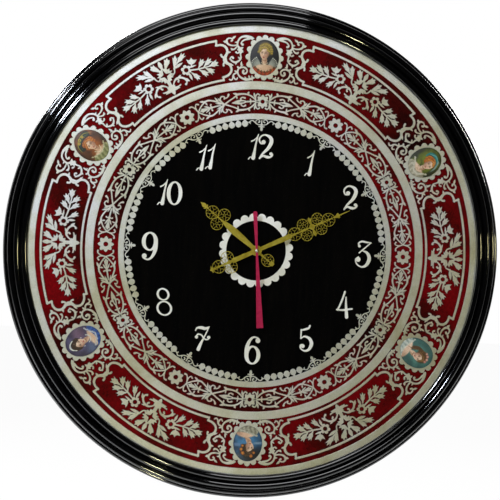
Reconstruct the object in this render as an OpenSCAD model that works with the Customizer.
// Round wall clock with a marquetry dial in the boulle manner and a quartz movement.
// Drawn on the dial's own axes (x right, y up, z out of the wall), then stood upright.

/* [Case] */
// Width of the turned case ring round the dial
case_w = 27.3; // [25:0.1:32]
// Depth of the case from the wall to its front bead
case_depth = 36; // [34:0.5:40]
// Radius of the five turned beads
bead_r = 3; // [2.5:0.1:3.4]
// Height of the beads above the hollows between them
bead_relief = 1.4; // [0.8:0.1:2]
// Width of the ledge that carries the dial board
ledge_w = 13.5; // [11:0.5:18]
// Height of the outermost bead above the wall
skirt_h = 8; // [6:0.5:10]

/* [Dial] */
// Radius of the finished dial
dial_r = 225.4; // [222:0.2:228]
// Thickness of the dial board
board_t = 6; // [5:0.5:8]
// Distance from the wall to the back of the dial board
board_z = 25; // [24:0.5:27]
// Thickness of the shell and ebony sheets glued on the board
sheet_t = 1; // [0.8:0.1:1.4]
// Height of the metal inlay above those sheets
inlay_t = 0.5; // [0.3:0.05:0.8]
// Glue gap between sheets that lie edge to edge
glue_gap = 0.1; // [0.05:0.05:0.2]
// Width of the outer metal ring
outer_ring_w = 7.2; // [6:0.2:8.4]
// Width of the outer marquetry band
outer_band_w = 48.8; // [47.6:0.2:51]
// Width of the middle metal ring
middle_ring_w = 8.2; // [7:0.2:9.4]
// Width of the inner marquetry band
inner_band_w = 24.1; // [23.5:0.1:26]
// Width of the inner metal ring behind the lace edge
inner_ring_w = 5.6; // [5:0.1:6.6]
// Inner radius of the scalloped ring round the hands
centre_ring_r = 29.9; // [28:0.1:33]
// Distance from the lace edge to the circle on which the numerals stand
numeral_inset = 27.5; // [26.5:0.5:29.5]

/* [Medallions] */
// Width of the oval opening in a medallion surround
medallion_w = 28.8; // [27:0.2:30]
// Space between a medallion surround and the metal rings
medallion_gap = 1.4; // [1:0.1:2.2]
// Width of the surround's plain border
surround_w = 2.2; // [1.8:0.1:2.6]
// Radius of the scallops round a surround
scallop_r = 2.9; // [2.5:0.1:3.1]
// Rise of the domed plaque above the shell sheet
plaque_rise = 3.2; // [2.6:0.1:4]
// Radius of the dome on a plaque
dome_r = 75; // [66:1:90]

/* [Hands] */
// Length of the hour hand
hour_len = 73.5; // [70:0.5:76]
// Length of the minute hand
minute_len = 102; // [96:0.5:108]
// Length of the second hand
second_len = 77; // [70:0.5:84]
// Length of the second hand's tail
second_tail = 39; // [34:0.5:42]
// Thickness of the hands' sheet
hand_t = 0.5; // [0.4:0.05:0.7]
// Space between one hand and the next
hand_step = 1.9; // [1.7:0.1:2.4]
// Angle of the hour hand, clockwise from twelve
hour_angle = 308.5; // [0:0.5:360]
// Angle of the minute hand, clockwise from twelve
minute_angle = 64.4; // [0:0.1:360]
// Angle of the second hand, clockwise from twelve
second_angle = 175.2; // [0:0.1:360]

/* [Movement] */
// Height of the movement above the spindle
mv_up = 22; // [21.6:0.1:24]
// Height of the movement below the spindle
mv_down = 34; // [33.7:0.1:36]
// Depth of the movement
mv_d = 16; // [15.8:0.1:17]
// Thickness of the movement's front wall
mv_wall = 1.5; // [1.3:0.1:1.8]
// Thickness of the movement's side walls
mv_side = 1; // [0.8:0.1:1.2]
// Thickness of the movement's rear cover
mv_cover = 1.2; // [1:0.1:1.5]
// Outer radius of the threaded bush
bush_r = 3.5; // [3.4:0.05:3.8]
// Radial clearance of each tube or arbor in its bearing
run_gap = 0.07; // [0.04:0.01:0.09]
// Radius of the second arbor
second_arbor_r = 0.6; // [0.5:0.02:0.66]
// Wall of the minute and hour tubes
tube_wall = 0.8; // [0.7:0.02:0.84]
// Thickness of a wheel
wheel_t = 1; // [0.8:0.05:1.1]
// Radius of the arbors between the plates
arbor_r = 0.7; // [0.6:0.02:0.8]
// Radius of the pivots at an arbor's ends
pivot_r = 0.4; // [0.3:0.02:0.5]
// Diameter of the battery
battery_d = 14.2; // [13.9:0.1:14.3]
// Length of the battery without its positive cap
battery_len = 49.2; // [48.6:0.1:49.6]
// Space for the spring at the battery's other end
spring_room = 3.3; // [3:0.1:4]

/* [Hanger] */
// Thickness of the hanger plate
plate_t = 1.6; // [1.2:0.1:2]
// Radius of the hanger plate's round hole
hang_r = 4.5; // [4:0.1:5]
// Radius of the hanger plate's slot
slot_r = 2.2; // [2:0.1:2.5]
// Radius of the wood screws' shanks
screw_r = 2; // [1.6:0.1:2.2]

/* [Hidden] */
$fn = 64;

black = [.02, .02, .02];
pewter = [.79, .79, .74];
shell_red = [.4, .02, .03];
gilt = [.55, .5, .14];
nylon = [.9, .9, .86];

// Radii of the dial, from the rim inwards
seat_gap = 0.3;
rabbet_r = dial_r + seat_gap;
case_r = rabbet_r + case_w;
outer_in = dial_r - outer_ring_w;
middle_out = outer_in - outer_band_w;
middle_in = middle_out - middle_ring_w;
inner_out = middle_in - inner_band_w;
lace_r = inner_out - inner_ring_w;
numeral_r = lace_r - numeral_inset;
band_mid = middle_out + outer_band_w * 0.525;
strip_mid = inner_out + inner_band_w / 2;

// Heights above the wall
board_front = board_z + board_t;
sheet_front = board_front + sheet_t;
inlay_front = sheet_front + inlay_t;
washer_t = 0.5;
nut_h = 2;
nut_front = sheet_front + washer_t + nut_h;
bush_front = nut_front + 0.3;
hour_z = bush_front + 0.5 + hand_step * 0.45;
minute_z = hour_z + hand_t + hand_step - 0.5;
second_z = minute_z + hand_t + hand_step - 0.5;

// Case section: five beads on a quarter ellipse, from the front lip to the skirt
rim_start = rabbet_r + 0.3;
bead_first = 5;
bead_step = 20;
bead_count = 5;
bead_last = bead_first + bead_step * (bead_count - 1);
rim_w = (case_r - bead_r - rim_start) / sin(bead_last);
rim_h = (case_depth - bead_r - skirt_h) / cos(bead_first);
function rim(a, grow = 0) = [rim_start + (rim_w + grow) * sin(a), skirt_h + (rim_h + grow) * cos(a)];
ledge_r = rabbet_r - ledge_w;
back_chamfer = 3;

// Hanger and screws
hang_h = rabbet_r + 3.5;
plate_w = 48;
plate_h = 18;
hanger_screw_x = 18;
head_depth = 8;
fit_gap = 0.15;
screw_bore = 0.05;
board_screw_r = rabbet_r - 6;
counterbore = 9;
head_r = 2 * screw_r;
head_h = 2.2;

// Stands the dial's axes upright, with the hanger's hole at the origin
module upright() translate([0, 0, -hang_h]) rotate([90, 0, 0]) children();
module disc(r, z, t) translate([0, 0, z]) cylinder(r = r, h = t);
module ring(r0, r1, z, t) translate([0, 0, z]) linear_extrude(t) difference() {
  circle(r1);
  circle(r0);
}
module six(first = 0) for (k = [0:5]) rotate(first - 60 * k) children();
module both() {
  children();
  mirror([1, 0]) children();
}

module turned() rotate_extrude($fn = 180) difference() {
  children();
  translate([0, board_z]) square([rabbet_r, case_depth]);
}
module case_core() polygon(concat([[ledge_r, 0], [ledge_r, board_z], [rabbet_r, board_z]],
  [for (a = [0:5:90]) rim(a, bead_relief)], [[case_r - back_chamfer, 0]]));
module screw_axes() for (k = [0:5]) rotate(60 * k) translate([board_screw_r, 0]) children();
// The ring is glued up from quarters, with the joints between the hours
module quarter(turn) color(black) upright() intersection() {
  case_body();
  rotate(turn) linear_extrude(case_depth + 1) translate([glue_gap / 2, glue_gap / 2]) square(case_r + 1);
}
module case_top_quarter() quarter(45);
module case_left_quarter() quarter(135);
module case_bottom_quarter() quarter(225);
module case_right_quarter() quarter(-45);
module case_body() difference() {
  union() {
    turned() case_core();
    for (i = [0:bead_count - 1]) turned() translate(rim(bead_first + bead_step * i)) circle(bead_r);
  }
  screw_axes() {
    translate([0, 0, -1]) cylinder(r = head_r + 0.3, h = counterbore + 1);
    cylinder(r = screw_r + screw_bore, h = board_z + 1);
  }
  translate([0, hang_h, 0]) {
    translate([-plate_w / 2 - fit_gap, -plate_h / 2 - fit_gap, -1])
      cube([plate_w + 2 * fit_gap, plate_h + 2 * fit_gap, plate_t + 1]);
    translate([-hang_r - 2, -hang_r - 2, 0]) cube([2 * hang_r + 4, 2 * hang_r + 6, plate_t + head_depth]);
    for (s = [-1, 1]) translate([s * hanger_screw_x, 0, 0]) cylinder(r = screw_r - 0.35, h = 14);
  }
}
module board_screws() color("silver") upright() screw_axes() {
  z = counterbore - head_h;
  disc(head_r, z, head_h);
  disc(screw_r, counterbore, board_z + board_t - 2.5 - counterbore);
}
module hanger_plate() color("silver") upright() translate([0, hang_h, 0]) difference() {
  translate([-plate_w / 2, -plate_h / 2, 0]) cube([plate_w, plate_h, plate_t]);
  translate([0, 0, -1]) {
    cylinder(r = hang_r, h = plate_t + 2);
    translate([-slot_r, 0, 0]) cube([2 * slot_r, hang_r + 1, plate_t + 2]);
    translate([0, hang_r + 1, 0]) cylinder(r = slot_r, h = plate_t + 2);
  }
  for (s = [-1, 1]) translate([s * hanger_screw_x, 0, -1]) {
    cylinder(r = screw_r - 0.35, h = plate_t + 2);
    cylinder(r = screw_r + 1.1, h = 1.9);
  }
}
module hanger_screws() color("silver") upright()
  for (s = [-1, 1]) translate([s * hanger_screw_x, hang_h, 0]) {
    disc(screw_r - 0.4, 0.5, 11.5);
    disc(screw_r + 1, 0.1, 0.8);
  }
module dial_board() color("tan") upright() difference() {
  disc(dial_r, board_z, board_t);
  disc(bush_r + fit_gap, board_z - 1, board_t + 2);
  screw_axes() disc(screw_r + screw_bore, board_z - 1, board_t - 1.4);
}

// Flat sheets and metal rings of the dial
module outer_metal_ring() color(pewter) upright()
  ring(outer_in + glue_gap, dial_r, board_front, sheet_t + inlay_t);
module middle_metal_ring() color(pewter) upright()
  ring(middle_in + glue_gap, middle_out - glue_gap, board_front, sheet_t + inlay_t);
module inner_metal_ring() color(pewter) upright()
  ring(lace_r, inner_out - glue_gap, board_front, sheet_t + inlay_t);
module outer_red_shell() color(shell_red) upright() ring(middle_out, outer_in, board_front, sheet_t);
module inner_red_shell() color(shell_red) upright() ring(inner_out, middle_in, board_front, sheet_t);
module dial_centre_panel() color(black) upright()
  ring(bush_r + fit_gap, lace_r - glue_gap, board_front, sheet_t);

// Sawn inlay. Motifs are drawn as [along, out, width] from the middle of their band, for a band of
// the radius $drawn, and bent round the dial's centre at the radius $arc. $across follows the band's width.
$arc = 0;
$drawn = 1;
$across = 1;
$bends = 1;
function bent(p) = let (a = 90 - p[0] / $drawn * 180 / PI, r = $arc + p[1] * $across) [r * cos(a),
    r * sin(a)];
function laid(points) = [for (p = points) $arc > 0 ? bent(p) : [p[0], p[1]]];
function between(a, b, c, d, t) = 0.5 * (2 * b + (c - a) * t + (2 * a - 5 * b + 4 * c - d) * t * t
  + (3 * b - a - 3 * c + d) * t * t * t);
function smooth(p, n) = let (m = len(p) - 1) concat([for (i = [0:m - 1], j = [0:n - 1])
  between(p[max(i - 1, 0)], p[i], p[i + 1], p[min(i + 2, m)], j / n)], [p[m]]);
function edge(p, i, s) = let (m = len(p) - 1, d = p[min(i + 1, m)] - p[max(i - 1, 0)],
  k = s * p[i][2] / 2 / norm([d[0], d[1]])) [p[i][0] - d[1] * k, p[i][1] + d[0] * k];
function ribbon(p) = concat([for (i = [0:len(p) - 1]) edge(p, i, 1)],
  [for (i = [len(p) - 1:-1:0]) edge(p, i, -1)]);
function round_points(c, r, n) = [for (i = [0:n - 1]) c + r * [cos(360 * i / n), sin(360 * i / n)]];
function oval(a, b, n = 30) = [for (i = [0:n - 1]) [a * sin(360 * i / n), b * cos(360 * i / n)]];
// A tapered stroke through hand-chosen points
module stroke(p) polygon(laid(ribbon(smooth(p, $bends))));
// A round knob or ball terminal
module dot(c, r, n = 6) polygon(laid(round_points(c, r, n)));
// Half outlines of a leaf, three-pointed or plain: share of its length and of its half width
lobed_side = [[0, .16], [.42, .7], [.84, 1.1], [.76, .6], [1, .05]];
plain_side = [[0, .24], [.5, 1], [1, .08]];
module leaf(a, b, w) {
  d = b - a;
  n = [-d[1], d[0]] / norm(d) * w / 2;
  side = w > 3.5 ? lobed_side : plain_side;
  polygon(laid(concat([for (q = side) a + d * q[0] + n * q[1]],
    [for (i = [len(side) - 1:-1:0]) a + d * side[i][0] - n * side[i][1]])));
}
// Joins a motif's overlapping pieces into one outline
module sawn(grow = 0.08) offset(delta = grow) children();
module inlay() color(pewter) upright() translate([0, 0, sheet_front]) children();
module outer_band() {
  $arc = band_mid;
  $drawn = 195;
  $across = outer_band_w / 48.8;
  children();
}
module inner_band() {
  $arc = strip_mid;
  $drawn = 149;
  $across = inner_band_w / 24.1;
  children();
}
module inlay_plate(t = inlay_t) linear_extrude(t) children();

// Leaf spray in a panel: half of it, beside the panel's own axis
module half_spray() {
  // centre flower's petals on this side and the leaves above them
  leaf([1, 2.2], [8.6, 6.6], 8);
  leaf([1, .2], [8.2, -5], 7.6);
  polygon(laid([[0, 4.6], [1.6, 5.5], [1.4, 12], [.4, 15.5], [0, 15.5]]));
  leaf([1.6, 4.6], [8, 15.4], 5.4);
  // side leaves and the stalk that carries them
  stroke([[6.5, -1, 1.2], [10, .8, 1.2], [11.6, 5, 1.8]]);
  leaf([11.6, 4.4], [15.6, 15.2], 5.8);
  leaf([13, 7], [24.6, 13.8], 6);
  leaf([11, 4.6], [20.6, 5.6], 3.4);
  // long branch with its leaves
  stroke([[26, -1, .8], [33, -4.2, 1.4], [47, -4.6, 1.2]]);
  polygon(laid([[29.4, -.4], [33.2, .4], [35.4, 4.6], [33, 4.2], [31.8, 7.4], [29.8, 5], [27, 7.6],
      [26.4, 3.4]]));
  leaf([34.6, -3.6], [41.2, 3.4], 5.4);
  leaf([39.4, -4.2], [49, 2], 5.6);
  leaf([44.5, -4.8], [54.6, -2.2], 6.8);
  leaf([34.8, -4.4], [43.8, -13.2], 6);
  leaf([40.6, -5], [50.6, -11.6], 6);
  leaf([25, -5.6], [25.4, -13.6], 3.4);
  leaf([27, -5.2], [33.4, -14.6], 5.8);
  // foot: arching scroll and palmette
  stroke([[3.4, -9.6, .8], [7.4, -6.8, 1.9], [12.6, -6.2, 2], [16.6, -9, 2.3], [17, -12, 1.8],
      [15, -13.8, 2.6]]);
  leaf([16.4, -7.8], [21.8, -13], 3.4);
  stroke([[9, -6.8, 1], [11.6, -11, 1]]);
  polygon(laid([[0, -4], [1.9, -5.5], [1.7, -9], [3.8, -11.6], [3, -16], [1, -18.8], [0, -19.2]]));
  leaf([2, -14], [11.8, -14], 2.6);
  leaf([2, -15.2], [9.4, -17.2], 2.4);
}
module side_rosette() difference() {
  polygon(laid([for (i = [0:17]) [22.2, -2.6] + (i % 3 ? 5.5 : 3.6) * [cos(20 * i), sin(20 * i)]]));
  dot([22.2, -2.6], 2, 8);
}
module star_hole() polygon(laid([for (i = [0:7]) (i % 2 ? 1.5 : 5.3) * [sin(45 * i), cos(45 * i)]]));
module leaf_sprays() inlay() six(-30) inlay_plate() outer_band() sawn() difference() {
  both() {
    half_spray();
    side_rosette();
  }
  star_hole();
}

// Panel outline: straight runs along the band, notched concave ends and a spur.
// Points are measured from the medallion's axis, and the frame lies 60 degrees away from the next.
frame_w = 2.3;
module half_frame() {
  top = 17.6;
  low = -21.2;
  half = PI * $drawn / 6;
  function run(y, x) = [for (i = [0:4]) [half - (half - x) * i / 4, y, frame_w]];
  polygon(laid(ribbon(run(top, 45.4))));
  stroke([[46.4, top + .4, 2], [46.4, top - 5.4, 2]]);
  stroke([[47.4, top - 4.8, 2], [42, top - 5.4, 2.2], [38.8, top - 9, 2.3], [37.7, top - 13, 2.4],
      [40, top - 17.4, 3]]);
  stroke([[40, -.2, 3.6], [41.3, -3, 4], [40.6, -6.6, 3.6]]);
  leaf([39.8, -.6], [35, .6], 2.4);
  leaf([40.5, -1.4], [44.2, 2.4], 2.4);
  leaf([40.6, -5.6], [44, -9.2], 2.4);
  leaf([40.4, -5.4], [36.4, -8.7], 2.4);
  stroke([[40.6, -5.4, 3], [37.2, low + 12.2, 2.4], [38, low + 8, 2.3], [41.4, low + 5, 2.2],
      [46.8, low + 4.4, 2]]);
  stroke([[45.8, low + 5, 2], [45.9, low - .4, 2]]);
  polygon(laid(ribbon(run(low, 44.9))));
}
module cartouche_frames() inlay() six(-30) inlay_plate() outer_band() sawn() both() rotate(30) half_frame();

// Medallion: scalloped oval surround and domed plaque
med_y = band_mid - 2;
scallops = 16;
medallion_h = outer_band_w - 2 * (surround_w + scallop_r + medallion_gap);
plaque_gap = 0.15;
surround_t = inlay_t + 0.6;
module medallion_surrounds() inlay() six() translate([0, med_y]) inlay_plate(surround_t) difference() {
  sawn() {
    polygon(oval(medallion_w / 2 + surround_w, medallion_h / 2 + surround_w));
    for (p = oval(medallion_w / 2 + surround_w - .3, medallion_h / 2 + surround_w - .3, scallops))
      translate(p) circle(scallop_r, $fn = 10);
  }
  polygon(oval(medallion_w / 2, medallion_h / 2));
}
module medallion_plaques() color("tan") upright() translate([0, 0, sheet_front]) six()
  translate([0, med_y]) intersection() {
    linear_extrude(plaque_rise + 1) polygon(oval(medallion_w / 2 - plaque_gap,
        medallion_h / 2 - plaque_gap));
    translate([0, 0, plaque_rise - dome_r]) sphere(dome_r, $fn = 128);
  }

// Scrollwork between a medallion and the panels beside it, on one side of its axis
module half_corner() {
  stroke([[12.4, 15.4, 1.6], [15.4, 18.2, 2.2], [19.4, 19.2, 2.2], [23.6, 17.8, 1.8],
      [27.4, 13.6, 1.6], [28.4, 9.6, 1.6]]);
  stroke([[14.4, 16.8, 1.4], [19.4, 17.2, 1.2], [23.4, 14.8, 1.6], [22, 11.4, 2.4]]);
  leaf([28.2, 12.6], [22.8, 2], 6.4);
  leaf([27.4, 9], [21.2, 7.8], 2.8);
  stroke([[28, 11, 1.2], [32, 11.2, 1.2], [35.9, 13.8, 1.6], [36.2, 17.2, 1.7], [33, 18.6, 1.4],
      [31.4, 16.2, 2.2]]);
  leaf([31.4, 18], [27, 19.8], 2.2);
  stroke([[28, 10.4, 1.2], [30.4, 7.4, 1.6], [34, 8.2, 1.2]]);
  stroke([[24.6, 5, 1.6], [25, 1, 1.8], [26.4, -3.2, 1.8], [30.4, -5.8, 1.8], [34.4, -4.2, 1.6],
      [34.2, -.4, 1.3],
    [32, -.8, 2]]);
  leaf([30, -5], [34.4, -7.2], 2);
  leaf([24.6, -9.6], [23, -4.4], 4);
  stroke([for (i = [0:8]) let (a = 50 * i - 80, r = 6.2 - .55 * i) [23.6 + r * cos(a),
      -14.8 + r * sin(a), 1.7]]);
  stroke([[9.6, -21.4, 1.8], [15, -22.6, 2.4], [21, -23, 2], [27.2, -20.9, 1.7], [29.6, -17.6, 1.5],
      [29.2, -13, 1.3]]);
  leaf([14, -22.2], [17.6, -19.2], 2.2);
  leaf([28.8, -13.8], [27, -9.6], 2.4);
  stroke([[29.6, -15, 1.2], [33.4, -17.4, 1.5], [35.4, -21, 1.6], [38, -22.6, 1.4], [40, -21, .9]]);
  stroke([[34.6, -19.4, 1.4], [32.6, -22.6, 1.4], [30.2, -20.6, 1.2]]);
}
module corner_scrolls() inlay() six() inlay_plate() outer_band() both() difference() {
  sawn() half_corner();
  translate([0, med_y]) polygon(oval(medallion_w / 2 + surround_w + 3, medallion_h / 2 + surround_w + 3));
}

// Inner band: two rosettes and two lens-shaped scrolls in each thirty degrees
rosette_petals = 8;
module rosette(r, hole) difference() {
  polygon(laid([for (i = [0:3 * rosette_petals - 1]) let (a = 360 / rosette_petals * (i - 1) / 3)
    r * (i % 3 == 1 ? 1.2 : .88) * [sin(a), cos(a)]]));
  dot([0, 0], hole, 10);
}
module band_rosettes() inlay() inner_band() {
  six() inlay_plate() rosette(5.8, 2.2);
  six(-30) inlay_plate() rosette(6.6, 2.5);
}
module lens(a, b, h) for (s = [-1, 1]) let (m = b - a)
  stroke([[a, 0, 1.2], [a + m * .2, s * h * .68, 1.3], [a + m * .46, s * h, 1.6],
      [a + m * .76, s * h * .78, 1.5],
    [b, 0, 1.2]]);
module half_strip() {
  first = 38.6;
  second = 66;
  lens(7.9, first, 8.6);
  lens(first, second, 8.2);
  stroke([[7.6, 0, 1.6], [17.4, 0, 1.6]]);
  leaf([14, 0], [32, .2], 5.4);
  for (s = [-1, 1]) {
    stroke([[20.8, s * 1.6, 1.4], [22.4, s * 4.4, 1.3], [20, s * 5.8, 1.2], [18.4, s * 4.2, 1.2]]);
    leaf([13.6, s * 6.4], [13.8, s * 10.2], 2.6);
    leaf([26.2, s * 8.1], [29.6, s * 10.8], 2.6);
    stroke([[30.6, s * 8.8, 2.2], [34.4, s * 7.4, 1.4], [38.8, s * 9.3, 1.5], [41.2, s * 6, 1.5],
        [38.8, 0, 1.2]]);
    leaf([42.2, s * 4.6], [46, s * 9.4], 2.6);
    leaf([38.6, s * .2], [47.4, s * 4.2], 1.8);
    leaf([54.2, s * .2], [59.4, s * 4], 1.8);
    stroke([[65.8, 0, 1.2], [67.4, s * 4, 1.2], [65.8, s * 8, 1.3], [62.8, s * 7.2, 1.2]]);
    stroke([[66, 0, 1.2], [69, s * 6.2, 1.4], [72.6, s * 8, 1.2]]);
    stroke([[9, s * .9, 1.2], [7.4, s * 6, 1.4], [3.4, s * 8, 1.4]]);
    leaf([10.6, s * 2.6], [10, s * 9.2], 2.4);
  }
  leaf([38, 0], [56, 0], 2.8);
  leaf([52, 0], [63.4, 0], 4.4);
}
module band_scrolls() inlay() six() inlay_plate() inner_band() sawn() both() half_strip();

// Lace edging: six scallops between two finials at each hour, laid against the inner ring
lace_edge = -glue_gap - 0.2;
lace_cells = 6;
scallop_foot = [[-.5, -3.2], [-.38, -5.6], [-.15, -7], [.15, -7], [.38, -5.6]];
scallop_top = [[.5, -2.5], [.25, 0], [-.25, 0]];
module lace_scallops() {
  lace_pitch = $drawn * PI / 60;
  at = [for (i = [0:lace_cells - 1]) i - (lace_cells - 1) / 2];
  polygon(laid(concat([for (i = at, q = scallop_foot) [(i + q[0]) * lace_pitch, q[1] + lace_edge]],
    [[lace_cells * lace_pitch / 2, -3.2 + lace_edge]],
    [for (i = at, q = scallop_top) [(q[0] - i) * lace_pitch, q[1] + lace_edge]],
    [[-lace_cells * lace_pitch / 2, -2.5 + lace_edge]])));
}
module half_finial() {
  polygon(laid([[0, lace_edge], [1, lace_edge], [.8, -6], [3.4, -6.9], [1, -8.2], [1.7, -10],
      [1.1, -11.4], [0, -11.8]]));
  stroke([[5.4, -4.4, 1], [6, -2, 1], [3.8, -.7, 1], [2, -2.4, 1], [3.8, -3.2, 1.4]]);
  stroke([[.3, -5.3, 1], [4, -5.2, 1], [8.6, -1, 1], [11.4, -1, 1], [13.2, -2.8, 1], [14.4, -2.9, 1]]);
  leaf([12.3, -1.5], [11.6, -4.8], 1.2);
}
module lace_edging() inlay() for (k = [0:11]) rotate(30 * k) inlay_plate() {
  $arc = lace_r;
  $drawn = 131.5;
  $across = lace_r / $drawn;
  sawn() {
    both() half_finial();
    rotate(15) lace_scallops();
  }
}

// Scalloped ring round the hands
module centre_scalloped_ring() inlay() inlay_plate(2 * inlay_t) difference() {
  sawn() {
    circle(centre_ring_r + 4, $fn = 24);
    for (k = [0:23]) rotate(15 * k + 7.5) translate([0, centre_ring_r + 3.2]) circle(4.1, $fn = 9);
  }
  circle(centre_ring_r, $fn = 72);
}

// Numerals, drawn upright about their places on the hour circle
module digit_1() {
  stroke([[2.6, 12.6, .6], [1.6, 9, 1.6], [.2, 2, 1.9], [-.8, -5, 2.3], [-1.8, -11.4, 3.4]]);
  stroke([[2, 10.6, .7], [-1, 7, 1.3], [-4, 5.2, 1.6]]);
  stroke([[-1.6, -11.2, 1], [-4.6, -10.6, 1], [-6.4, -12.6, 1.2]]);
}
module digit_2() {
  dot([-3.3, 5], 2.1, 12);
  stroke([[-2.4, 3.4, 1], [-6, 3.6, 1.6], [-7.6, 7.4, 1.8], [-5.4, 11, 1.7], [-1.4, 12.2, 1.8],
      [3.4, 9.8, 2.9],
    [4.6, 5.4, 3.3], [1.6, -1, 2.8], [-3.8, -6.8, 2.1], [-6.6, -11.4, 1.8]]);
  stroke([[-6, -10.6, 1.6], [-3, -8.8, 2], [.6, -9.8, 2.4], [4, -9.6, 2.2], [6, -7.6, 1.9],
      [5.2, -5.6, 1.5]]);
  dot([4.5, -6.4], 1.5, 10);
}
module digit_3() {
  dot([-4.2, 8.4], 1.5, 10);
  stroke([[-4.6, 8, 1.6], [-5, 11, 1.8], [-2, 13, 2], [3, 12.4, 1.8], [7.8, 12, 1]]);
  stroke([[7.6, 12, 1], [3, 8, 1.4], [-.6, 4.6, 1.4], [-4, 1.6, 1.6]]);
  stroke([[-.8, 3.8, 1], [4, 1.6, 2.4], [6.4, -4, 3.2], [3.8, -10.4, 2.6], [-1, -12.6, 1.8], [-6, -10, 1.5],
    [-7.4, -5.4, 1.5], [-4.8, -2.8, 1.5]]);
  dot([-4.9, -5.2], 2.4, 12);
}
module digit_4() {
  stroke([[1.4, 14.4, 2], [-.4, 8, 2.1], [-3, 1, 1.9], [-5.4, -4.2, 1.6]]);
  stroke([[-6.2, -3.8, 1.6], [0, -4, 2], [9.2, -2.6, 1.9]]);
  stroke([[2.8, 9, 1.4], [3, 3, 2.1], [3.6, -4, 2.5], [4.2, -11, 3]]);
}
module digit_5() {
  stroke([[-5, 11.4, 1.7], [-5.2, 2.6, 1.4]]);
  stroke([[-5.2, 11, 1.6], [-1, 12, 2.2], [2.4, 13.4, 2.2], [3.4, 15.8, 1.8]]);
  stroke([[-5, 2.8, 1.2], [-1.4, 4.8, 1.8], [3.6, 2.8, 2.6], [5.8, -2.4, 3.2], [3.4, -8, 2.4],
      [-1, -9.6, 1.8],
    [-5, -7.2, 1.5], [-5.2, -4, 1.5], [-2.8, -3.4, 1.2]]);
  dot([-2.9, -5], 2, 12);
}
module digit_6() {
  dot([3.7, 9], 1.8, 10);
  stroke([[4.4, 9.4, 1.2], [2.6, 11.6, 1.4], [-1, 11.2, 1.6], [-5, 6.6, 2.2], [-6.6, 0, 2.6],
      [-5, -7.2, 2.2],
    [-.4, -12, 1.6], [4.8, -9.2, 2.2], [6.2, -4, 2.6], [4.4, 1, 2.2], [.6, 2.6, 1.5], [-2.2, .8, 1.3]]);
  dot([-.8, -.8], 2, 12);
}
module digit_7() {
  stroke([[-6.8, 7.4, 1], [-5.2, 10, 1.8], [-1, 10.4, 2.6], [3, 9.6, 2.4], [6.8, 11.6, 1]]);
  stroke([[6.4, 11, 1.2], [3.6, 4.4, 1.3], [1.6, 0, 1.6], [-1, -5.4, 2.4], [-3.2, -11.2, 3.2]]);
  dot([-5.6, 1], 1.6, 10);
  dot([6.6, 1], 1.6, 10);
  stroke([[-5.6, 1.6, 1.2], [-4.4, 3.8, 1.4], [-.6, 3, 1.6], [2.4, -.6, 1.6], [5.4, -1.2, 1.4],
      [7.6, .6, 1.3]]);
}
module digit_8() {
  for (p = [[-1.2, 4.8, 5.4, 5.6], [.6, -9, 6.8, 6.8]]) difference() {
    polygon([for (i = [0:23]) [p[0] + (p[2] + 1) * sin(15 * i) - .6 * cos(15 * i),
        p[1] + (p[3] + .6) * cos(15 * i)]]);
    polygon([for (i = [0:23]) [p[0] + (p[2] - 1.2) * sin(15 * i) - .6 * cos(15 * i),
        p[1] + (p[3] - .8) * cos(15 * i)]]);
  }
}
module digit_9() rotate(180) digit_6();
module digit_0() difference() {
  polygon(oval(7.2, 11.8, 24));
  polygon(oval(4.5, 10.2, 24));
}
module hour(h, dx, dy) translate(numeral_r * [sin(30 * h), cos(30 * h)] + [dx, dy]) children();
module hour_numerals() inlay() inlay_plate() {
  $bends = 1;
  hour(1, 0, .2) sawn() digit_1();
  hour(2, 3.6, 4.8) sawn() digit_2();
  hour(3, 4.4, .8) sawn() digit_3();
  hour(4, 0, 0) sawn() digit_4();
  hour(5, 2, 1.2) sawn() digit_5();
  hour(6, .8, 4) sawn() digit_6();
  hour(7, 1.8, .6) sawn() digit_7();
  hour(8, .6, -.2) sawn() digit_8();
  hour(9, -2, 0) sawn() digit_9();
  hour(10, -3.6, 2.2) sawn() digit_1();
  hour(10, 6.4, 1.4) sawn() digit_0();
  hour(11, -4.4, .2) sawn() digit_1();
  hour(11, 4.2, 2) sawn() digit_1();
  hour(12, -5.2, -.2) sawn() digit_1();
  hour(12, 6, -.2) sawn() digit_2();
}

// Hands: pierced sheet with spoked wheels of filigree, each on its own tube
hub_r = 4.9;
boss_wall = 0.9;
minute_bore = second_arbor_r + run_gap;
minute_tube_r = minute_bore + tube_wall;
hour_bore = minute_tube_r + run_gap;
hour_tube_r = hour_bore + tube_wall;
bush_bore = hour_tube_r + run_gap;
press_gap = 0.02;
module filigree(c, r) translate(c) {
  difference() {
    circle(r, $fn = 15);
    circle(r - .85, $fn = 15);
  }
  circle(r * .3, $fn = 5);
  for (k = [0:4]) rotate(72 * k) translate([-.35, 0]) square([.7, r - .5]);
}
module hand(z, angle) color(gilt) upright() translate([0, 0, z]) rotate(-angle) children();
module hour_outline() sawn(0.05) scale(hour_len / 73.5) {
  circle(hub_r, $fn = 30);
  stroke([[0, 0, 4.6], [0, 8, 4.4], [0, 20, 6], [0, 32, 6.7], [0, 41.4, 3.8]]);
  stroke([[0, 40, 2.6], [0, 54, 1.6], [0, 64, 1.6]]);
  both() filigree([5.7, 47.3], 6.3);
  filigree([0, 57.8], 6.8);
  leaf([0, 63.6], [0, 73.5], 6);
  both() leaf([0, 63.4], [3.4, 66.6], 1.8);
  stroke([[0, 0, 3], [0, -9.4, 2]]);
  filigree([0, -14.9], 6.4);
  stroke([[0, -9, 1.2], [0, -19, 1.2]]);
  polygon([[-2, -17.8], [-2.4, -20.4], [-1.4, -22.4], [1.4, -22.4], [2.4, -20.4], [2, -17.8]]);
}
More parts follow.
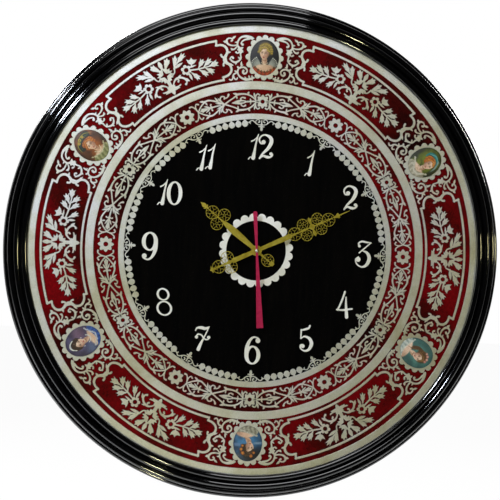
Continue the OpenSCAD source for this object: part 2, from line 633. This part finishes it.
module minute_outline() sawn(0.05) scale(minute_len / 102) {
  circle(hub_r + .3, $fn = 30);
  stroke([[0, 0, 4], [0, 10, 3.8], [0, 33.4, 5.2], [0, 36, 5]]);
  stroke([[0, 34, 2], [0, 60, 1.6], [0, 88, 1.2]]);
  filigree([0, 41.6], 6.7);
  both() filigree([5.8, 52.4], 5.7);
  translate([0, 60.5]) circle(2.9, $fn = 12);
  both() {
    leaf([2, 60.5], [10, 60.5], 4.2);
    filigree([5.7, 68.4], 5.7);
    leaf([0, 87], [2.6, 89.4], 1.6);
    leaf([0, -48.4], [3.4, -48], 1.8);
    filigree([4.9, -29.6], 6.5);
  }
  filigree([0, 78.4], 6.8);
  leaf([0, 84], [0, 91.6], 4.4);
  stroke([[0, 90, 1.4], [0, 96, .9], [0, 102, .5]]);
  stroke([[0, 0, 4], [0, -24.8, 4.8]]);
  stroke([[0, -24, 2.4], [0, -47, 1.4]]);
  filigree([0, -40.9], 6.5);
  leaf([0, -45.6], [0, -50.4], 3.2);
}
module hour_hand() hand(hour_z, hour_angle) difference() {
  union() {
    linear_extrude(hand_t) hour_outline();
    translate([0, 0, -hand_step * 0.4]) cylinder(r = hour_tube_r + boss_wall, h = hand_step * 0.4 + hand_t);
  }
  translate([0, 0, -5]) cylinder(r = hour_tube_r + press_gap, h = 10);
}
module minute_hand() hand(minute_z, minute_angle) difference() {
  union() {
    linear_extrude(hand_t) minute_outline();
    translate([0, 0, -hand_step * 0.4]) cylinder(r = minute_tube_r + boss_wall,
        h = hand_step * 0.4 + hand_t);
  }
  translate([0, 0, -5]) cylinder(r = minute_tube_r + press_gap, h = 10);
}
socket_r = 1.5;
module second_hand() color("crimson") upright() translate([0, 0, second_z])
    rotate(-second_angle) difference() {
  union() {
    linear_extrude(hand_t) {
      polygon([[-1, 0], [-3.4, second_len], [3.4, second_len], [1, 0]]);
      polygon([[-1, 0], [-2.1, 1.9 - second_tail], [2.1, 1.9 - second_tail], [1, 0]]);
      translate([0, 2 - second_tail]) circle(2.1);
      circle(socket_r + 0.4);
    }
    translate([0, 0, -hand_step * 0.5]) cylinder(r = socket_r, h = hand_step * 0.5 + hand_t);
  }
  translate([0, 0, -5]) cylinder(r = second_arbor_r + press_gap, h = 10);
}
module second_hand_cap() color("silver") upright() translate([0, 0, second_z + hand_t]) rotate_extrude()
  intersection() {
    translate([0, -.4]) circle(2);
    square([3, 3]);
  }

// Movement: heights are counted backwards from the inside of its front wall
gasket_t = 0.5;
mv_front = board_z - gasket_t;
mv_back = mv_front - mv_d;
cap_len = 1;
contact_t = 0.4;
room = battery_len + cap_len + contact_t + spring_room + 0.1;
mv_w = room + 2 * mv_side;
inside = mv_front - mv_wall;
depth_in = mv_d - mv_wall - mv_cover;
module level(t, h = wheel_t) translate([0, 0, inside - t - h]) children();
level_gap = 0.6;
t_hour = 0.9;
t_cannon = t_hour + wheel_t + 0.3;
t_centre = t_cannon + wheel_t + level_gap;
t_third = t_centre + wheel_t + level_gap;
t_second = t_third + wheel_t + level_gap;
t_inter = t_second + wheel_t + level_gap;

// Wheels and pinions: teeth, modules and places
second_teeth = 60;
second_leaves = 8;
third_teeth = 60;
third_leaves = 8;
centre_teeth = 64;
inter_teeth = 60;
inter_leaves = 10;
rotor_leaves = 12;
cannon_leaves = 12;
minute_teeth = 36;
minute_leaves = 10;
hour_teeth = 40;
setting_leaves = 12;
third_d = 12.24;
inter_d = 12.25;
rotor_d = 9;
motion_d = 9.6;
third_a = 200;
inter_a = 60;
rotor_a = -25;
minute_a = 150;
setting_a = 120;
function polar(d, a) = d * [cos(a), sin(a)];
third_at = polar(third_d, third_a);
inter_at = polar(inter_d, inter_a);
rotor_at = inter_at + polar(rotor_d, rotor_a);
minute_at = polar(motion_d, minute_a);
setting_at = minute_at + polar(motion_d, setting_a);
function module_of(d, n, m) = 2 * d / (n + m);
mesh_gap = 0.09;
// Turn of a driven wheel that puts its gap at the driver's tooth
function meshed(turn, n, m, a) = a + 180 - (turn - a) * n / m + 180 / m;
minute_turn = meshed(0, cannon_leaves, minute_teeth, minute_a);
// Tooth outline: radial share of the module, and share of the half pitch, up one flank
wheel_flank = [[-1.15, 1.1], [.85, .36]];
leaf_flank = [[-1.25, .7], [.1, .8], [.75, .36]];
function tooth(n, m, flank, i, turn) = let (r = n * m / 2, slim = mesh_gap / r * 180 / PI)
  [for (s = [-1, 1], k = [0:len(flank) - 1]) let (q = flank[s < 0 ? k : len(flank) - 1 - k],
      rr = r + q[0] * m,
    a = turn + 360 * i / n + s * max(90 / n * q[1] - slim, .2)) rr * [cos(a), sin(a)]];
module toothed(n, m, turn) polygon([for (i = [0:n - 1], p = tooth(n, m, n > 20 ? wheel_flank : leaf_flank,
  i, turn)) p]);
module wheel(n, m, turn, rim_in, hub, spokes = 4) difference() {
  toothed(n, m, turn);
  difference() {
    circle(rim_in);
    circle(hub);
    for (k = [0:spokes - 1]) rotate(360 * k / spokes + 45) translate([0, -.7]) square([rim_in + 1, 1.4]);
  }
}
module arbor(at, from, to) translate([at[0], at[1], 0]) {
  level(from, to - from) cylinder(r = arbor_r, h = to - from);
  level(-bearing, depth_in + 2 * bearing) cylinder(r = pivot_r, h = depth_in + 2 * bearing);
}
bearing = 0.8;
shake = 0.15;
module third_wheel() color(nylon) upright() {
  m = module_of(third_d, second_leaves, third_teeth);
  p = module_of(third_d, third_leaves, centre_teeth);
  arbor(third_at, shake, depth_in - shake);
  translate(third_at) {
    level(t_third) linear_extrude(wheel_t)
      wheel(third_teeth, m, meshed(0, second_leaves, third_teeth, third_a), 8.6, 2.4);
    level(t_centre - .2, t_third - t_centre + .2) linear_extrude(t_third - t_centre + .2)
      toothed(third_leaves, p, 0);
  }
}
module centre_wheel() color(nylon) upright() {
  m = module_of(third_d, third_leaves, centre_teeth);
  p = module_of(motion_d, cannon_leaves, minute_teeth);
  difference() {
    union() {
      level(t_centre) linear_extrude(wheel_t)
        wheel(centre_teeth, m, meshed(0, third_leaves, centre_teeth, third_a + 180), 8.8, 3);
      level(t_cannon, wheel_t + level_gap) linear_extrude(wheel_t + level_gap) toothed(cannon_leaves, p, 0);
      translate([0, 0, inside - t_centre])
          cylinder(r = minute_tube_r, h = minute_z + hand_t - inside + t_centre);
    }
    cylinder(r = minute_bore, h = 60);
  }
}
module second_wheel() color(nylon) upright() {
  m = module_of(inter_d, inter_leaves, second_teeth);
  p = module_of(third_d, second_leaves, third_teeth);
  level(t_second) linear_extrude(wheel_t) wheel(second_teeth, m, 0, 8.4, 2.2);
  level(t_third - .1, t_second - t_third + .1) linear_extrude(t_second - t_third + .1)
    toothed(second_leaves, p, 0);
  translate([0, 0, inside - t_second]) cylinder(r = second_arbor_r,
      h = second_z + hand_t * 0.8 - inside + t_second);
  level(t_second + wheel_t - .01, depth_in - shake - t_second - wheel_t + .01)
    cylinder(r = arbor_r, h = depth_in - shake - t_second - wheel_t + .01);
  level(t_second + wheel_t - .01, depth_in + bearing - t_second - wheel_t + .01)
    cylinder(r = pivot_r, h = depth_in + bearing - t_second - wheel_t + .01);
}
module intermediate_wheel() color(nylon) upright() {
  m = module_of(rotor_d, rotor_leaves, inter_teeth);
  p = module_of(inter_d, inter_leaves, second_teeth);
  arbor(inter_at, shake, depth_in - shake);
  translate(inter_at) {
    level(t_inter) linear_extrude(wheel_t) wheel(inter_teeth, m, 0, 5.8, 2.4, 3);
    level(t_second - .2, t_inter - t_second + .2) linear_extrude(t_inter - t_second + .2)
      toothed(inter_leaves, p, meshed(0, second_teeth, inter_leaves, inter_a));
  }
}
magnet_r = 2.8;
module rotor() color("dimgray") upright() {
  m = module_of(rotor_d, rotor_leaves, inter_teeth);
  arbor(rotor_at, shake, depth_in - shake);
  translate(rotor_at) {
    level(t_third - .8, 2.6) cylinder(r = magnet_r, h = 2.6);
    level(t_third + 1.7, t_inter + wheel_t - t_third - 1.7)
        linear_extrude(t_inter + wheel_t - t_third - 1.7)
      toothed(rotor_leaves, m, meshed(0, inter_teeth, rotor_leaves, rotor_a));
  }
}
stud_r = 0.9;
module minute_wheel() color(nylon) upright() translate(minute_at) difference() {
  m = module_of(motion_d, cannon_leaves, minute_teeth);
  p = module_of(motion_d, minute_leaves, hour_teeth);
  union() {
    level(t_cannon) linear_extrude(wheel_t) toothed(minute_teeth, m, minute_turn);
    level(t_hour, t_cannon - t_hour) linear_extrude(t_cannon - t_hour) toothed(minute_leaves, p, 0);
  }
  cylinder(r = stud_r + run_gap, h = 60);
}
module hour_wheel() color(nylon) upright() difference() {
  m = module_of(motion_d, minute_leaves, hour_teeth);
  union() {
    level(t_hour) linear_extrude(wheel_t)
      wheel(hour_teeth, m, meshed(0, minute_leaves, hour_teeth, minute_a + 180), 6, 4);
    translate([0, 0, inside - t_hour - .01])
        cylinder(r = hour_tube_r, h = hour_z + hand_t - inside + t_hour + .01);
  }
  cylinder(r = hour_bore, h = 60);
}
knob_r = 4.6;
knob_t = 1.6;
module setting_knob() color(nylon) upright() translate(setting_at) {
  m = module_of(motion_d, setting_leaves, minute_teeth);
  level(t_cannon) linear_extrude(wheel_t)
    toothed(setting_leaves, m, meshed(minute_turn, minute_teeth, setting_leaves, setting_a));
  level(-bearing, t_cannon + bearing) cylinder(r = pivot_r, h = t_cannon + bearing);
  level(t_cannon + wheel_t - .1, depth_in + mv_cover + .6 - t_cannon - wheel_t)
    cylinder(r = arbor_r, h = depth_in + mv_cover + .6 - t_cannon - wheel_t);
  translate([0, 0, mv_back - .3 - knob_t]) linear_extrude(knob_t) difference() {
    circle(knob_r);
    for (k = [0:11]) rotate(30 * k) translate([knob_r + .3, 0]) circle(.8, $fn = 24);
  }
}

// Movement housing, bush and fixings
bay_h = battery_d + 1.2;
bay_y = mv_side - mv_down;
wall_y = bay_y + bay_h;
module box_outline(in) translate([in - mv_w / 2, in - mv_down]) union() {
  r = 2.5 - in / 2;
  w = mv_w - 2 * in;
  h = mv_up + mv_down - 2 * in;
  translate([r, 0]) square([w - 2 * r, h]);
  translate([0, r]) square([w, h - 2 * r]);
  for (x = [r, w - r], y = [r, h - r]) translate([x, y]) circle(r);
}
flange_r = bush_r + 1.5;
flange_t = 0.6;
module bearing_holes(at_list, z, h) for (p = at_list) translate([p[0], p[1], z])
    cylinder(r = pivot_r + run_gap, h = h);
battery_y = bay_y + bay_h / 2;
battery_z = mv_back + battery_d / 2 + 0.15;
module movement_front_shell() color([.1, .1, .1]) upright() {
  difference() {
    translate([0, 0, mv_back]) linear_extrude(mv_d) box_outline(0);
    translate([0, 0, mv_back - 1]) linear_extrude(mv_d - mv_wall + 1) difference() {
      box_outline(mv_side);
      translate([-mv_w, wall_y]) square([2 * mv_w, mv_side]);
    }
    translate([0, 0, inside - 1]) cylinder(r = bush_r + press_gap, h = mv_wall + 2);
    translate([0, 0, inside - 1]) cylinder(r = flange_r + press_gap, h = 1 + flange_t + 0.05);
    bearing_holes([third_at, inter_at, rotor_at, setting_at], inside - 1, 1 + bearing + 0.1);
  }
  translate([minute_at[0], minute_at[1], inside - t_cannon - wheel_t - .1])
    cylinder(r = stud_r, h = t_cannon + wheel_t + .1 + .2);
  for (y = stator_post_y) translate([stator_post_x, y, inside - t_third])
      cylinder(r = 1.5, h = t_third + .2);
  for (x = chip_post_x) translate([x, board_mid_y, inside - 1]) cylinder(r = 1.2, h = 1.2);
  // saddles that carry the battery
  for (x = [-16, 16]) difference() {
    translate([x - .75, bay_y - .2, battery_z]) cube([1.5, bay_h + .4, inside - battery_z + .2]);
    translate([x - 2, battery_y, battery_z]) rotate([0, 90, 0]) cylinder(r = battery_d / 2 + .1, h = 4);
  }
}
cover_gap = 0.12;
module movement_rear_cover() color([.15, .15, .15]) upright() difference() {
  translate([0, 0, mv_back]) linear_extrude(mv_cover) intersection() {
    box_outline(mv_side + cover_gap);
    translate([-mv_w, wall_y + mv_side + cover_gap]) square([2 * mv_w, mv_up + mv_down]);
  }
  bearing_holes([third_at, inter_at, rotor_at, [0, 0]], mv_back + mv_cover - bearing - 0.1, 2);
  translate([setting_at[0], setting_at[1], mv_back - 1]) cylinder(r = arbor_r + run_gap, h = mv_cover + 2);
}
module threaded_bush() color("goldenrod") upright() difference() {
  union() {
    translate([0, 0, inside]) cylinder(r = bush_r, h = bush_front - inside);
    translate([0, 0, inside]) cylinder(r = flange_r, h = flange_t);
  }
  translate([0, 0, inside - 1]) cylinder(r = bush_bore, h = bush_front - inside + 2);
}
nut_r = 5.4;
module bush_nut() color("goldenrod") upright() difference() {
  translate([0, 0, sheet_front + washer_t]) cylinder(r = nut_r, h = nut_h, $fn = 6);
  disc(bush_r + press_gap, sheet_front, 10);
}
module bush_washer() color("goldenrod") upright() ring(bush_r + fit_gap, nut_r - 0.3, sheet_front,
    washer_t);
module rubber_gasket() color(black) upright() ring(bush_r + fit_gap, 12, mv_front, gasket_t);

// Battery, contacts and electronics
battery_x = room / 2 - contact_t - cap_len - battery_len - 0.1;
module battery() color("dimgray") upright() translate([battery_x, battery_y, battery_z])
    rotate([0, 90, 0]) {
  cylinder(r = battery_d / 2, h = battery_len);
  cylinder(r = 2.7, h = battery_len + cap_len);
}
module positive_contact() color("silver") upright()
  translate([room / 2 - contact_t, battery_y - 4, battery_z - 4])
      cube([contact_t, 8, inside - battery_z + 3.6]);
module negative_contact() color("silver") upright() translate([-room / 2, battery_y + 4, battery_z])
  rotate([90, 0, 0]) linear_extrude(8) {
    gap = battery_x + room / 2;
    translate([0, -4]) square([contact_t, inside - battery_z + 3.6]);
    polygon([[0, -4], [gap - .1 - contact_t, -.6], [gap - .1, -.6], [gap - .1, .6],
        [gap - .1 - contact_t, .6],
      [gap - .5 - contact_t, -.2], [contact_t, -3.4]]);
  }
board_x = mv_w / 2 - 26;
board_w = 23;
board_h = 6;
pcb_y = wall_y + mv_side + 0.3;
board_mid_y = pcb_y + board_h / 2;
chip_post_x = [board_x + 2, board_x + 21];
module circuit_board() color("seagreen") upright() translate([board_x, pcb_y, inside - 2])
  cube([board_w, board_h, 1]);
module driver_chip() color(black) upright() translate([board_x + 6, board_mid_y, inside - 2 - 1.1])
  intersection() {
    translate([0, 0, 1.1]) sphere(2.2);
    translate([-3, -3, 0]) cube([6, 6, 1.1]);
  }
module quartz_crystal() color("silver") upright() translate([board_x + 11, board_mid_y, inside - 2 - 1.05])
  rotate([0, 90, 0]) cylinder(r = 1, h = 6);
core_x = mv_w / 2 - 5;
stator_post_x = core_x - 3.5;
stator_post_y = [-5, 17];
stator_t = wheel_t;
stator_z = inside - t_third - stator_t;
core_w = 2.4;
module stator_plate() color("silver") upright() translate([0, 0, stator_z]) linear_extrude(stator_t)
  difference() {
    union() {
      translate([10.2, -6.6]) square([8.2, 25.2]);
      translate([10.2, -6.6]) square([core_x - core_w / 2 - 10.3, 3.2]);
      translate([10.2, 15.4]) square([core_x - core_w / 2 - 10.3, 3.2]);
    }
    translate(rotor_at) circle(magnet_r + 0.5);
  }
module coil_core() color("gray") upright() translate([core_x - core_w / 2, -6.6, stator_z])
  cube([core_w, 25.2, stator_t]);
coil_r = 3.4;
module drive_coil() color("chocolate") upright() difference() {
  translate([core_x, -2.8, stator_z + stator_t / 2]) rotate([-90, 0, 0]) cylinder(r = coil_r, h = 17.6);
  translate([core_x - core_w / 2 - 0.05, -4, stator_z - 0.05]) cube([core_w + 0.1, 20, stator_t + 0.1]);
}

case_top_quarter();
case_right_quarter();
case_bottom_quarter();
case_left_quarter();
dial_board();
board_screws();
hanger_plate();
hanger_screws();
outer_metal_ring();
middle_metal_ring();
inner_metal_ring();
lace_edging();
outer_red_shell();
inner_red_shell();
dial_centre_panel();
cartouche_frames();
leaf_sprays();
medallion_surrounds();
medallion_plaques();
corner_scrolls();
band_rosettes();
band_scrolls();
centre_scalloped_ring();
hour_numerals();
hour_hand();
minute_hand();
second_hand();
second_hand_cap();
movement_front_shell();
movement_rear_cover();
threaded_bush();
bush_nut();
bush_washer();
rubber_gasket();
battery();
positive_contact();
negative_contact();
circuit_board();
driver_chip();
quartz_crystal();
drive_coil();
coil_core();
stator_plate();
rotor();
intermediate_wheel();
second_wheel();
third_wheel();
centre_wheel();
minute_wheel();
hour_wheel();
setting_knob();
